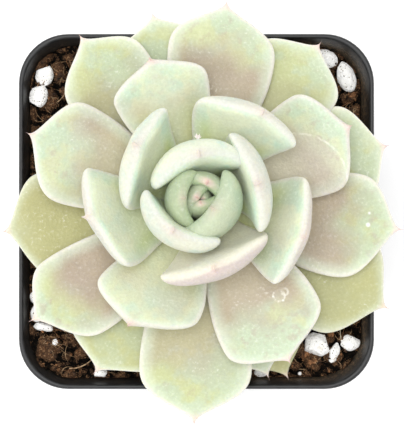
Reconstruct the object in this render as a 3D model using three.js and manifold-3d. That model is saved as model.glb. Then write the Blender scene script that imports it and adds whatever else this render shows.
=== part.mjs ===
// Potted rosette succulent: a square nursery pot, soil with perlite grains, a short stem and 32 leaves.
// Millimetres, +Z up. The origin is the middle of the face that the pot rests on.
import * as THREE from 'three';
import { mergeVertices } from 'three/addons/utils/BufferGeometryUtils.js';
import Module from 'manifold-3d';

const wasm = await Module();
wasm.setup();
const { Manifold, Mesh: SolidMesh } = wasm;

const GAP = 0.3;
const LEAF_ROOM = 0.5;
const DEG = Math.PI / 180;

// Pot. Its outline is a square with round corners, and a half is half of one side of it.
const POT_HEIGHT = 82;
const RIM_HALF = 45;
const RIM_WIDTH = 1.2;
const COLLAR_HEIGHT = 5;
const WALL_TOP_HALF = 44.4;
const WALL_FOOT_HALF = 34;
const WALL = 0.8;
const FLOOR = 2.2;
const EDGE_ROUND = 0.4;
const FOOT_ROUND = 1.6;
const CORNER_SHARE = 0.28;
const CORNER_STEPS = 5;
const SIDE_STEPS = 3;
const CHANNEL_HALVES = [14, 25];
const CHANNEL_DEPTH = 1.2;
const DRAIN_RADIUS = 3.6;
const DRAIN_SIDES = 12;

// Soil: its level at the wall, its mound at the stem and its lumps.
const SOIL_LEVEL = POT_HEIGHT - 8;
const SOIL_MOUND = 1.6;
const SOIL_LUMP = 0.5;
const LEFT_BANK = 3.0;
const NEAR_BANK = 2.0;
const BANK_START = 8.0;
const BANK_LENGTH = 35.0;
const SOIL_RINGS = [0.97, 0.88, 0.76, 0.62, 0.46, 0.26];

// Stem and crown: radius against height over the rim. The lowest stretch is the root in its hole.
const STEM_X = 0.9;
const STEM_Y = 2.9;
const STEM_SIDES = 16;
const ROOT_RADIUS = 6.4;
const ROOT_END = -30;
const CROWN = [[ROOT_RADIUS, -7], [7, -3], [6.8, 1], [5.6, 6], [4.2, 10.5], [2.7, 15], [1.1, 18]];

// Leaves, oldest and lowest first. Each is about the golden angle clockwise of the one before it.
// Reach is the tip's distance from the stem's axis and rise its height over the rim. The knee is
// the point that the midrib bends towards, in the same two measures. The shoulder is the share of
// the length where the blade starts to narrow to its point. Yaw turns the blade's face, and swing
// bends its tip to one side. Wrap is how far the blade curls in from its midrib to its margin, in
// radians. Azimuths and yaw are counter-clockwise degrees seen from above.
const LEAF_AROUND = [10, 8];
const LEAF_ALONG = [11, 9];
const FIRST_BUD_LEAF = 26;
const LEAF_COLUMNS = ['azimuth', 'reach', 'rise', 'knee', 'width', 'shoulder', 'yaw', 'swing', 'wrap'];
const LEAF_ROWS = [
  [296.3, 51.2, -1, [26, -1], 19, 0.65, 0, 0, 0.25],
  [291.1, 48.9, 0, [26, 0], 17.5, 0.65, 0, 0, 0.25],
  [17.6, 49.3, 5, [28, 1.5], 26, 0.69, 0, -1.3, 0.25],
  [244.2, 51, 4, [30, 1], 28.8, 0.65, 0, -5.2, 0.25],
  [104.3, 48.7, 5, [27, 1.5], 27, 0.65, 0, 0, 0.25],
  [328.5, 54.9, 5, [30, 1.5], 27.5, 0.65, 0, 1.5, 0.25],
  [190, 50.4, 5.5, [28, 1.5], 27.3, 0.65, 0, -0.8, 0.25],
  [52.5, 49.7, 6, [28, 2], 25, 0.7, 0, 0, 0.25],
  [268.5, 56.2, 9, [31, 3], 28.3, 0.67, 0, 0, 0.25],
  [128.4, 51, 9, [28, 3], 24, 0.66, 0, -2, 0.25],
  [348.8, 51, 9.5, [28, 3], 26.6, 0.64, 0, 2.6, 0.25],
  [219.5, 52, 10, [29, 3.5], 23.4, 0.66, 0, -3.7, 0.25],
  [81, 50, 10, [28, 3.5], 27, 0.65, 0, 1.2, 0.25],
  [300.6, 46, 14, [27, 6], 27.2, 0.69, 0, -1.4, 0.25],
  [161.1, 45.5, 15, [26, 6], 25.6, 0.65, 0, -1.8, 0.25],
  [26, 41.5, 16, [25, 6], 26.2, 0.66, 0, 0, 0.25],
  [245.6, 35.3, 18, [23, 7], 27, 0.66, 0, -3.4, 0.25],
  [109.6, 36.7, 18, [23, 7], 24.4, 0.68, 0, 0, 0.25],
  [342, 26.5, 24, [22, 10], 27, 0.76, 2, -1, 0.25],
  [196.3, 26.3, 24, [21, 10], 26, 0.75, 8, -4, 0.25],
  [65, 25.1, 25, [21, 11], 26.2, 0.75, -1.5, -5, 0.3],
  [289.5, 16.6, 28, [17, 13], 28, 0.78, 2, -2.5, 0.35],
  [150.6, 19, 28, [18, 12], 25.8, 0.77, 8, -4, 0.35],
  [25, 13.6, 30, [16, 13], 25.4, 0.78, -8, -2.5, 0.45],
  [229, 9.4, 31, [12, 15], 24, 0.8, 7, 0, 0.8],
  [104.5, 10.4, 30, [11, 15], 25.6, 0.78, 0, -2.6, 0.9],
  [324, 3.4, 30.5, [10.5, 18], 22, 0.78, 0, 0, 1.1],
  [176, 3.6, 30, [8.5, 19], 16, 0.8, 0, 0, 1.2],
  [66, 4.2, 28, [5.5, 19], 13, 0.8, 0, 0, 1.1],
  [283, 0.5, 27.5, [4.5, 20], 11, 0.76, 0, 0, 0.9],
  [146, 0.4, 27.5, [3.5, 20], 11, 0.76, 0, 0, 0.7],
  [15, 0.2, 26, [2.4, 20], 8, 0.72, 0, 0, 0.6],
];
const BASE_REACH = [7, 0.8];
const BASE_RISE = [-1, 15];
const THICKNESS_SHARE = [0.17, 0.37];
const UPPER_SHARE = 0.4;
const WIDEST_SHARE = [0.7, 0.84];
const ROUNDNESS = [0.82, 1];

// Perlite: x, y, length, breadth and turn of each grain seen from above.
const GRAINS = [
  [-38.9, 34.8, 5.2, 4.2, 84],
  [-40.3, 29.5, 5.6, 4.3, 80],
  [33.0, 39.3, 6.2, 4.4, -12],
  [38.4, 34.6, 7.4, 4.4, -68],
  [30.9, -34.0, 6.9, 6.0, 10],
  [39.4, -33.6, 4.7, 3.9, 10],
  [35.3, -36.2, 5.0, 2.5, 75],
  [-40.9, -21.6, 3.8, 3.0, 90],
  [-40.6, -25.9, 4.2, 3.2, 80],
  [-39.2, -29.4, 4.8, 2.4, -15],
  [-36.3, -33.5, 2.1, 1.5, 45],
  [-24.6, -41.2, 3.3, 2.4, 0],
  [16.6, -41.2, 3.4, 2.2, 10],
];
const GRAIN_HEIGHT_SHARE = 0.7;
const GRAIN_BUMP = 0.16;

const COLOURS = {
  pot: 0x2c2d2f,
  soil: 0x3a2a20,
  stem: 0xb9bf94,
  leafOld: 0xe4e2bb,
  leafYoung: 0xc4dcbc,
  perlite: 0xeceae4,
};

const object = new THREE.Group();

function mix(from, to, share) {
  return from + (to - from) * share;
}

function addMesh(name, geometry, color, roughness) {
  const material = new THREE.MeshStandardMaterial({ color, roughness, metalness: 0 });
  const mesh = new THREE.Mesh(geometry, material);
  mesh.name = name;
  object.add(mesh);
}

// A closed geometry as a solid: corners shared, empty triangles dropped, faces pointing out.
function toSolid(geometry) {
  geometry.deleteAttribute('normal');
  geometry.deleteAttribute('uv');
  const merged = mergeVertices(geometry, 1e-4);
  const points = merged.attributes.position.array;
  const index = merged.index.array;
  const triangles = [];
  let volume = 0;
  const a = new THREE.Vector3();
  const b = new THREE.Vector3();
  const c = new THREE.Vector3();
  for (let i = 0; i < index.length; i += 3) {
    const [p, q, r] = [index[i], index[i + 1], index[i + 2]];
    if (p === q || q === r || r === p) continue;
    triangles.push(p, q, r);
    a.fromArray(points, 3 * p);
    b.fromArray(points, 3 * q);
    c.fromArray(points, 3 * r);
    volume += a.dot(b.cross(c));
  }
  if (volume < 0) triangles.reverse();
  return new Manifold(new SolidMesh({
    numProp: 3,
    vertProperties: new Float32Array(points),
    triVerts: new Uint32Array(triangles),
  }));
}

function toGeometry(solid) {
  const mesh = solid.getMesh();
  const geometry = new THREE.BufferGeometry();
  geometry.setAttribute('position', new THREE.BufferAttribute(new Float32Array(mesh.vertProperties), 3));
  geometry.setIndex(new THREE.BufferAttribute(new Uint32Array(mesh.triVerts), 1));
  geometry.computeVertexNormals();
  return geometry;
}

function largestBody(solid) {
  return solid.decompose().reduce((best, body) => (body.volume() > best.volume() ? body : best));
}

// The outline of the pot for a half of 1: round corners joined by straight sides.
function squareOutline() {
  const middle = 1 - CORNER_SHARE;
  const corners = [[middle, middle], [-middle, middle], [-middle, -middle], [middle, -middle]];
  const points = [];
  corners.forEach(([x, y], quarter) => {
    for (let step = 0; step <= CORNER_STEPS; step += 1) {
      const angle = (quarter + step / CORNER_STEPS) * Math.PI / 2;
      points.push([x + CORNER_SHARE * Math.cos(angle), y + CORNER_SHARE * Math.sin(angle)]);
    }
    const [nextX, nextY] = corners[(quarter + 1) % 4];
    const out = [Math.cos((quarter + 1) * Math.PI / 2), Math.sin((quarter + 1) * Math.PI / 2)];
    for (let step = 1; step < SIDE_STEPS; step += 1) {
      const share = step / SIDE_STEPS;
      points.push([
        mix(x, nextX, share) + CORNER_SHARE * out[0],
        mix(y, nextY, share) + CORNER_SHARE * out[1],
      ]);
    }
  });
  return points;
}

// A profile of halves and heights turned round the axis and squared off to the pot's outline.
function squareLathe(profile) {
  const outline = squareOutline();
  const points = profile.map(([half, height]) => new THREE.Vector2(half, height));
  const geometry = new THREE.LatheGeometry(points, outline.length);
  const position = geometry.attributes.position;
  for (let i = 0; i < position.count; i += 1) {
    const [x, y] = outline[Math.floor(i / profile.length) % outline.length];
    const [half, height] = profile[i % profile.length];
    position.setXYZ(i, x * half, y * half, height);
  }
  return geometry;
}

function innerHalf(height) {
  return mix(WALL_FOOT_HALF, WALL_TOP_HALF, height / POT_HEIGHT) - WALL;
}

function squareSlab(half, height) {
  const shape = new THREE.Shape(squareOutline().map(([x, y]) => new THREE.Vector2(x * half, y * half)));
  return new THREE.ExtrudeGeometry(shape, { depth: height, bevelEnabled: false });
}

function makePot() {
  const wallFoot = mix(WALL_FOOT_HALF, WALL_TOP_HALF, FOOT_ROUND / POT_HEIGHT);
  const underCollar = POT_HEIGHT - COLLAR_HEIGHT;
  const lip = RIM_HALF - RIM_WIDTH;
  const shell = toSolid(squareLathe([
    [0, 0],
    [WALL_FOOT_HALF - FOOT_ROUND, 0],
    [wallFoot - EDGE_ROUND, EDGE_ROUND],
    [wallFoot, FOOT_ROUND],
    [WALL_TOP_HALF - EDGE_ROUND, underCollar - EDGE_ROUND],
    [RIM_HALF, underCollar + EDGE_ROUND],
    [RIM_HALF, POT_HEIGHT - EDGE_ROUND],
    [RIM_HALF - EDGE_ROUND, POT_HEIGHT],
    [lip, POT_HEIGHT],
    [innerHalf(POT_HEIGHT) - EDGE_ROUND / 2, POT_HEIGHT - EDGE_ROUND],
    [innerHalf(FLOOR + FOOT_ROUND), FLOOR + FOOT_ROUND],
    [innerHalf(FLOOR) - FOOT_ROUND, FLOOR],
    [0, FLOOR],
  ]));
  const [inner, outer] = CHANNEL_HALVES;
  const lowered = squareSlab(outer, CHANNEL_DEPTH + 1).translate(0, 0, -1);
  const pad = squareSlab(inner, CHANNEL_DEPTH + 3).translate(0, 0, -2);
  let pot = shell.subtract(toSolid(lowered).subtract(toSolid(pad)));
  const reach = (inner + outer) / 2;
  for (const x of [-reach, 0, reach]) {
    for (const y of [-reach, 0, reach]) {
      if (x === 0 && y === 0) continue;
      const drain = new THREE.CylinderGeometry(DRAIN_RADIUS, DRAIN_RADIUS, 3 * FLOOR, DRAIN_SIDES);
      pot = pot.subtract(toSolid(drain.rotateX(Math.PI / 2).translate(x, y, FLOOR / 2)));
    }
  }
  return pot;
}

function soilHeight(x, y) {
  const spread = Math.hypot(x - STEM_X, y - STEM_Y) / RIM_HALF;
  const mound = SOIL_MOUND * Math.max(0, 1 - spread * spread);
  const coarse = Math.sin(0.31 * x + 1.1) * Math.sin(0.27 * y - 0.6);
  const fine = Math.sin(0.83 * x - 0.4) * Math.sin(0.71 * y + 1.9);
  const leftBank = LEFT_BANK * THREE.MathUtils.clamp((-x - BANK_START) / BANK_LENGTH, 0, 1);
  const nearBank = NEAR_BANK * THREE.MathUtils.clamp((-y - BANK_START) / BANK_LENGTH, 0, 1);
  return SOIL_LEVEL + mound + leftBank + nearBank + SOIL_LUMP * (coarse + 0.7 * fine);
}

function makeSoil(stemHole, grainHoles) {
  const bottom = FLOOR + GAP;
  const wallHalf = innerHalf(SOIL_LEVEL) - GAP;
  const rings = SOIL_RINGS.map((share) => [share * wallHalf, SOIL_LEVEL]);
  const geometry = squareLathe([
    [0, bottom],
    [innerHalf(bottom) - FOOT_ROUND - GAP, bottom],
    [innerHalf(FLOOR + FOOT_ROUND) - GAP, FLOOR + FOOT_ROUND + GAP],
    [wallHalf, SOIL_LEVEL],
    ...rings,
    [0, SOIL_LEVEL],
  ]);
  const position = geometry.attributes.position;
  for (let i = 0; i < position.count; i += 1) {
    if (position.getZ(i) < SOIL_LEVEL) continue;
    const x = position.getX(i);
    const y = position.getY(i);
    const inside = Math.max(Math.abs(x), Math.abs(y)) < wallHalf - EDGE_ROUND;
    const height = soilHeight(x, y) - (inside ? 0 : SOIL_LUMP);
    const spread = (innerHalf(height) - GAP) / wallHalf;
    position.setXYZ(i, x * spread, y * spread, height);
  }
  let soil = toSolid(geometry).subtract(stemHole);
  grainHoles.forEach((hole) => {
    soil = soil.subtract(hole);
  });
  return largestBody(soil);
}

// The stem with its crown, or, grown by the gap, the room that leaves and soil keep clear of it.
function makeStem(growth) {
  const points = [
    new THREE.Vector2(0, POT_HEIGHT + ROOT_END - growth),
    new THREE.Vector2(ROOT_RADIUS + growth, POT_HEIGHT + ROOT_END - growth),
    ...CROWN.map(([radius, height]) => new THREE.Vector2(radius + growth, POT_HEIGHT + height)),
    new THREE.Vector2(0, POT_HEIGHT + CROWN.at(-1)[1] + growth + EDGE_ROUND),
  ];
  const lathe = new THREE.LatheGeometry(points, STEM_SIDES);
  return toSolid(lathe.rotateX(Math.PI / 2).translate(STEM_X, STEM_Y, 0));
}

function makeStemHole() {
  const depth = 2 * -ROOT_END;
  const hole = new THREE.CylinderGeometry(ROOT_RADIUS + GAP, ROOT_RADIUS + GAP, depth, STEM_SIDES);
  const middle = POT_HEIGHT + ROOT_END - GAP + depth / 2;
  return toSolid(hole.rotateX(Math.PI / 2).translate(STEM_X, STEM_Y, middle));
}

function bezier(start, knee, end, share) {
  const rest = 1 - share;
  return rest * rest * start + 2 * rest * share * knee + share * share * end;
}

function bezierSlope(start, knee, end, share) {
  return 2 * (1 - share) * (knee - start) + 2 * share * (end - knee);
}

// Half of the blade's width, for a widest half of 1, along its length from the base to the point.
function bladeOutline(share, widest, shoulder) {
  const body = 0.34 + 0.66 * Math.sin(Math.PI / 2 * Math.min(1, share / widest)) ** 1.4;
  const tip = Math.max(0, (share - shoulder) / (1 - shoulder));
  return body * (1 - tip ** 4) ** 3;
}

function bladeThickness(share) {
  const body = 0.6 + 0.4 * Math.sin(Math.PI / 2 * Math.min(1, share / 0.5));
  const tip = Math.max(0, (share - 0.55) / 0.45);
  return body * (1 - tip ** 4) ** 0.7;
}

// A leaf is a sphere drawn out along its midrib: across it lies the blade, flatter above than below.
function makeLeaf(row, number, growth) {
  const leaf = Object.fromEntries(LEAF_COLUMNS.map((column, i) => [column, row[i]]));
  const age = number / (LEAF_ROWS.length - 1);
  const upright = THREE.MathUtils.clamp((number - 12) / 8, 0, 1);
  const outward = new THREE.Vector3(Math.cos(leaf.azimuth * DEG), Math.sin(leaf.azimuth * DEG), 0);
  const sideways = new THREE.Vector3(-outward.y, outward.x, 0);
  const up = new THREE.Vector3(0, 0, 1);
  const facing = sideways.clone().applyAxisAngle(up, leaf.yaw * DEG);
  const base = [mix(...BASE_REACH, age ** 1.2), mix(...BASE_RISE, age ** 0.9)];
  const end = new THREE.Vector2(leaf.reach - leaf.knee[0], leaf.rise - leaf.knee[1]).setLength(2 * growth);
  const tip = [leaf.reach + end.x, leaf.rise + end.y];
  const halfWidth = leaf.width / 2;
  const thickness = leaf.width * mix(...THICKNESS_SHARE, age ** 3);
  const curl = halfWidth / leaf.wrap;
  const roundness = mix(...ROUNDNESS, upright);
  const widest = mix(...WIDEST_SHARE, upright);
  const size = number < FIRST_BUD_LEAF ? 0 : 1;
  const geometry = new THREE.SphereGeometry(1, LEAF_AROUND[size], LEAF_ALONG[size]);
  const position = geometry.attributes.position;
  for (let i = 0; i < position.count; i += 1) {
    const share = (Math.floor(i / (LEAF_AROUND[size] + 1)) / LEAF_ALONG[size]) ** 0.9;
    const turn = 2 * Math.PI * (i % (LEAF_AROUND[size] + 1)) / LEAF_AROUND[size];
    const along = outward.clone().multiplyScalar(bezierSlope(base[0], leaf.knee[0], tip[0], share));
    along.addScaledVector(up, bezierSlope(base[1], leaf.knee[1], tip[1], share)).normalize();
    const across = facing.clone().addScaledVector(along, -facing.dot(along)).normalize();
    const over = along.clone().cross(across).normalize();
    const isPole = share === 0 || share === 1;
    const half = isPole ? 0 : halfWidth * bladeOutline(share, widest, leaf.shoulder) + growth;
    const thick = isPole ? 0 : thickness * bladeThickness(share);
    const skin = isPole ? 0 : growth;
    const bend = Math.cos(turn) * half / curl;
    const lift = Math.sin(turn);
    const sideShare = lift > 0 ? UPPER_SHARE : UPPER_SHARE - 1;
    const rise = sideShare * thick * Math.abs(lift) ** roundness + skin * THREE.MathUtils.clamp(2 * lift, -1, 1);
    const point = new THREE.Vector3(STEM_X, STEM_Y, POT_HEIGHT);
    point.addScaledVector(outward, bezier(base[0], leaf.knee[0], tip[0], share));
    point.addScaledVector(up, bezier(base[1], leaf.knee[1], tip[1], share));
    point.addScaledVector(sideways, leaf.swing * share ** 3);
    point.addScaledVector(across, curl * Math.sin(bend) - rise * Math.sin(bend));
    point.addScaledVector(over, curl * (1 - Math.cos(bend)) + rise * Math.cos(bend));
    position.setXYZ(i, point.x, point.y, point.z);
  }
  return toSolid(geometry);
}

// A grain is an icosahedron with each corner pushed in or out, lying half sunk in the soil.
function makeGrain([x, y, length, breadth, turn], growth) {
  const geometry = new THREE.IcosahedronGeometry(1, 1);
  const position = geometry.attributes.position;
  const corner = new THREE.Vector3();
  for (let i = 0; i < position.count; i += 1) {
    corner.fromBufferAttribute(position, i);
    const wave = Math.sin(5.1 * corner.x + x) + Math.sin(4.3 * corner.y + y) + Math.sin(4.7 * corner.z + turn);
    corner.multiplyScalar(1 + GRAIN_BUMP * wave / 2);
    corner.multiply(new THREE.Vector3(
      length / 2 + growth,
      breadth / 2 + growth,
      breadth / 2 * GRAIN_HEIGHT_SHARE + growth,
    ));
    position.setXYZ(i, corner.x, corner.y, corner.z);
  }
  const height = soilHeight(x, y) + 0.12 * breadth;
  return toSolid(geometry.rotateZ(turn * DEG).translate(x, y, height));
}

addMesh('pot', toGeometry(makePot()), COLOURS.pot, 0.5);
const grainHoles = GRAINS.map((grain) => makeGrain(grain, GAP));
addMesh('soil', toGeometry(makeSoil(makeStemHole(), grainHoles)), COLOURS.soil, 0.95);
GRAINS.forEach((grain, number) => {
  const name = `perlite_${String(number + 1).padStart(2, '0')}`;
  addMesh(name, toGeometry(makeGrain(grain, 0)), COLOURS.perlite, 0.85);
});
addMesh('stem', toGeometry(makeStem(0)), COLOURS.stem, 0.7);

const stemRoom = makeStem(GAP);
const taken = [];
LEAF_ROWS.forEach((row, number) => {
  let leaf = makeLeaf(row, number, 0).subtract(stemRoom);
  taken.forEach((room) => {
    leaf = leaf.subtract(room);
  });
  taken.push(makeLeaf(row, number, LEAF_ROOM));
  const name = `leaf_${String(number + 1).padStart(2, '0')}`;
  const color = new THREE.Color(COLOURS.leafOld);
  color.lerp(new THREE.Color(COLOURS.leafYoung), number / (LEAF_ROWS.length - 1));
  addMesh(name, toGeometry(largestBody(leaf)), color, 0.6);
});

export default object;
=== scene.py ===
import math
import random
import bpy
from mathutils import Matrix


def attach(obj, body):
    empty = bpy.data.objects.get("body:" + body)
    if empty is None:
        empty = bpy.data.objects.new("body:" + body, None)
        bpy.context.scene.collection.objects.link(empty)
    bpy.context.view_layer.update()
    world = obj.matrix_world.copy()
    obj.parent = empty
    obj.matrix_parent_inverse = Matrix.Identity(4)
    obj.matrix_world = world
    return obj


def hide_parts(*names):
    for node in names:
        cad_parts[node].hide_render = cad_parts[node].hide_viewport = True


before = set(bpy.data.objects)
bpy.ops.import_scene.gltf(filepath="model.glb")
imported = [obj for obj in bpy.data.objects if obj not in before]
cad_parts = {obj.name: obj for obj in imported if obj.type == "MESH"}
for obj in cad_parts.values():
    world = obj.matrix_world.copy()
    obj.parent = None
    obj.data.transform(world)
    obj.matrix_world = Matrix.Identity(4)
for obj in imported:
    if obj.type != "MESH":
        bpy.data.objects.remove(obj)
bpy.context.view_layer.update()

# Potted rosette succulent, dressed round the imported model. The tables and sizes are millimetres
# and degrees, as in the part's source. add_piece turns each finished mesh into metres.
from types import SimpleNamespace

import bmesh
import bpy
from mathutils import Euler, Matrix, Vector, noise

MM = 0.001

# Pot
POT_HEIGHT = 82.0
RIM_HALF = 45.0
RIM_WIDTH = 1.2
COLLAR_HEIGHT = 5.0
COLLAR_ROUND = 0.35
UNDER_COLLAR_IN = 0.7
UNDER_COLLAR_DROP = 0.6
WALL_TOP_HALF = 44.4
WALL_FOOT_HALF = 34.0
WALL = 0.8
INNER_WALL_HEIGHTS = (70.0, 50.0, 25.0)
FLOOR = 2.2
FOOT_ROUND = 1.6
CORNER_SHARE = 0.28
CHANNEL_HALVES = (14.0, 25.0)
CHANNEL_DEPTH = 1.2
DRAIN_RADIUS = 3.6
DRAIN_SIDES = 32
POT_STEPS = 240
EDGE_BEVEL = 0.15
SHARP_ANGLE = 40.0
GAP = 0.3

# Soil
SOIL_LEVEL = POT_HEIGHT - 8.0
SOIL_MOUND = 1.6
LEFT_BANK = 3.0
NEAR_BANK = 2.0
BANK_START = 8.0
BANK_LENGTH = 35.0
SOIL_LUMP = 0.5
# Low waves in the bed: rate and phase along x, the same along y, and their share of a lump
SOIL_WAVES = (
    (0.31, 1.1, 0.27, -0.6, 1.0),
    (0.83, -0.4, 0.71, 1.9, 0.7),
)
SOIL_STEPS = 640
SOIL_RINGS = 84
SOIL_HIDDEN_HALF = 24.0
SOIL_HIDDEN_RINGS = 16
# The relief fades out over this last stretch before the wall, and ends this far under the bed
CALM_MARGIN = 0.8
CALM_RELIEF = -0.5
CLOD_SIZE = 5.2
CLOD_RISE = 2.4
LUMP_SIZE = 2.0
LUMP_RISE = 0.9
CRUMB_RATE = 0.9
CRUMB_RISE = 0.4
RELIEF_SINK = 1.9

# Loose bits lie on soil that shows past the leaves, out of the gaps between clods
OPEN_START = 25.0
CORNER_START = 31.0
CORNER_REACH = 12.0
GAP_RELIEF = -0.25
CRUMB_MARGIN = 0.8
CRUMB_LIFT = 0.15
CRUMB_LENGTHS = (0.7, 1.3)
CRUMB_BREADTHS = (0.5, 1.0)
CRUMB_FLATNESS = 0.6
CRUMB_ROUGHNESS = 0.09
CRUMB_TURN = 6.3
FIBRE_MARGIN = 1.6
FIBRE_WALL_MARGIN = 1.2
FIBRE_REACHES = (0.8, 2.5)
FIBRE_THICKNESSES = (0.09, 0.22)
FIBRE_BOWS = (-0.8, 0.8)
FIBRE_LIFTS = (0.3, 1.0)
FIBRE_DIP = 0.1
STRAND_END = 0.3
STRAND_CUTS = 5
LONG_STRAND_CUTS = 12
# Single strands: name, finish, start, end, thickness, sideways bow and lift
LONG_STRANDS = (
    ("loose_straw", "coir_straw", (-32.5, -40.1), (-26.4, -37.5), 0.42, 0.7, 0.9),
    ("thin_root", "root_skin", (37.2, -28.0), (37.0, -32.6), 0.3, 0.25, 0.5),
    ("left_straw", "coir_straw", (-35.6, 28.0), (-33.2, 31.6), 0.25, 0.4, 0.5),
)
# Bark pieces: x, y, length and turn
BARK_PIECES = (
    (39.9, 29.9, 2.6, 25),
    (27.9, -36.6, 3.4, 50),
    (29.6, -38.4, 2.4, 10),
    (34.5, -31.2, 3.0, 80),
)
BARK_FLATNESS = (1.0, 0.55, 0.4)
BARK_ROUGHNESS = 0.3
PERLITE_SPECK = (26.5, -41.6)
BIT_LIFT = 0.3

# Stem: radius against height over the rim
STEM_X = 0.9
STEM_Y = 2.9
ROOT_RADIUS = 6.4
ROOT_END = -30.0
CROWN = ((ROOT_RADIUS, -7.0), (7.0, -3.0), (6.8, 1.0), (5.6, 6.0), (4.2, 10.5), (2.7, 15.0), (1.1, 18.0))
CROWN_CAP = 0.4
STEM_STEPS = 48
STEM_RIPPLE = 0.12

# Leaves, oldest first, as in the part's source. The tone runs from -1, olive, over 0, green, to
# 1, rosy.
LEAF_COLUMNS = ("azimuth", "reach", "rise", "knee", "width", "shoulder", "yaw", "swing", "wrap", "tone")
LEAF_ROWS = (
    (296.3, 51.2, -1, (26, -1), 19, 0.65, 0, 0, 0.25, -1),
    (291.1, 48.9, 0, (26, 0), 17.5, 0.65, 0, 0, 0.25, 0),
    (17.6, 49.3, 5, (28, 1.5), 26, 0.69, 0, -1.3, 0.25, 0.1),
    (244.2, 51, 4, (30, 1), 28.8, 0.65, 0, -5.2, 0.25, -0.4),
    (104.3, 48.7, 5, (27, 1.5), 27, 0.65, 0, 0, 0.25, 0.1),
    (328.5, 54.9, 5, (30, 1.5), 27.5, 0.65, 0, 1.5, 0.25, -0.85),
    (190, 50.4, 5.5, (28, 1.5), 27.3, 0.65, 0, -0.8, 0.25, -1),
    (52.5, 49.7, 6, (28, 2), 25, 0.7, 0, 0, 0.25, 0.3),
    (268.5, 56.2, 9, (31, 3), 28.3, 0.67, 0, 0, 0.25, 0.5),
    (128.4, 51, 9, (28, 3), 24, 0.66, 0, -2, 0.25, 0.4),
    (348.8, 51, 9.5, (28, 3), 26.6, 0.64, 0, 2.6, 0.25, 0.8),
    (219.5, 52, 10, (29, 3.5), 23.4, 0.66, 0, -3.7, 0.25, 0.9),
    (81, 50, 10, (28, 3.5), 27, 0.65, 0, 1.2, 0.25, 0.9),
    (300.6, 46, 14, (27, 6), 27.2, 0.69, 0, -1.4, 0.25, 0.95),
    (161.1, 45.5, 15, (26, 6), 25.6, 0.65, 0, -1.8, 0.25, 0.9),
    (26, 41.5, 16, (25, 6), 26.2, 0.66, 0, 0, 0.25, 1),
    (245.6, 35.3, 18, (23, 7), 27, 0.66, 0, -3.4, 0.25, 0.5),
    (109.6, 36.7, 18, (23, 7), 24.4, 0.68, 0, 0, 0.25, 0.8),
    (342, 26.5, 24, (22, 10), 27, 0.76, 2, -1, 0.25, 0.8),
    (196.3, 26.3, 24, (21, 10), 26, 0.75, 8, -4, 0.25, 0.6),
    (65, 25.1, 25, (21, 11), 26.2, 0.75, -1.5, -5, 0.3, 0.5),
    (289.5, 16.6, 28, (17, 13), 28, 0.78, 2, -2.5, 0.35, 1),
    (150.6, 19, 28, (18, 12), 25.8, 0.77, 8, -4, 0.35, 0.4),
    (25, 13.6, 30, (16, 13), 25.4, 0.78, -8, -2.5, 0.45, 0.5),
    (229, 9.4, 31, (12, 15), 24, 0.8, 7, 0, 0.8, 0.4),
    (104.5, 10.4, 30, (11, 15), 25.6, 0.78, 0, -2.6, 0.9, 0.2),
    (324, 3.4, 30.5, (10.5, 18), 22, 0.78, 0, 0, 1.1, 0.1),
    (176, 3.6, 30, (8.5, 19), 16, 0.8, 0, 0, 1.2, 0.1),
    (66, 4.2, 28, (5.5, 19), 13, 0.8, 0, 0, 1.1, 0.2),
    (283, 0.5, 27.5, (4.5, 20), 11, 0.76, 0, 0, 0.9, 0.2),
    (146, 0.4, 27.5, (3.5, 20), 11, 0.76, 0, 0, 0.7, 0.3),
    (15, 0.2, 26, (2.4, 20), 8, 0.72, 0, 0, 0.6, 0.3),
)
BASE_REACH = (7.0, 0.8)
BASE_RISE = (-1.0, 15.0)
THICKNESS_SHARE = (0.17, 0.37)
UPPER_SHARE = 0.4
WIDEST_SHARE = (0.7, 0.84)
ROUNDNESS = (0.82, 1.0)
# The leaves grow more upright from this one on, over so many leaves
UPRIGHT_START = 12
UPRIGHT_SPAN = 8
OUTER_LEAVES = 18
BUD_LEAVES = 28
# How strongly the point is coloured, on the young leaves and on all others
YOUNG_POINT = 0.25
STRONG_POINT = 0.8
LEAF_LAYERS = ("along", "inset", "under", "youth", "rosy", "olive", "point")
LEAF_AROUND = 56
LEAF_ALONG = 60
UP = Vector((0.0, 0.0, 1.0))
LEAF_FOOT = Vector((STEM_X, STEM_Y, POT_HEIGHT))
POLE = 1e-4
CUSP = 0.3
WOBBLE = 0.35
WOBBLE_RATE = 0.16
# How far the hooked tips lean out, by leaf number
TIP_LEANS = {20: 2.2, 23: 1.5}
TIP_LEAN_START = 0.94

# Marks on single leaves, by leaf number: x, y and radius, then how strongly the disc and its rim
# show, and the disc's colour
BLOOM = (0.86, 0.88, 0.82)
# A dull, darker tone for a large round mark
DULL_DISC = (0.60, 0.56, 0.47)
LEAF_MARKS = {
    11: (
        (42.9, -0.4, 0.55, 0.85, 0.0, BLOOM),
        (42.6, -3.3, 0.8, 0.95, 0.0, BLOOM),
    ),
    14: (
        (20.4, -20.8, 1.4, 0.1, 0.7, BLOOM),
        (21.8, -19.8, 0.8, 0.0, 0.6, BLOOM),
        (21.4, -21.9, 0.45, 0.85, 0.0, BLOOM),
        (18.9, -21.0, 0.35, 0.7, 0.0, BLOOM),
    ),
    16: (
        (24.7, 6.7, 12.5, 0.45, 0.55, DULL_DISC),
    ),
}
MARK_SOFTNESS = 0.6
MARK_RIM = (0.1, 0.4)

# Sugary crystals at one leaf's tip
CRYSTAL_LEAF = 26
CRYSTALS = 30
CRYSTAL_BEARING = 96.5
CRYSTAL_SEED = 4
CRYSTAL_RADII = (0.14, 0.3)
CRYSTAL_LENGTHS = (0.6, 1.3)
CRYSTAL_SCATTER = (-0.1, 0.4)

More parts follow.
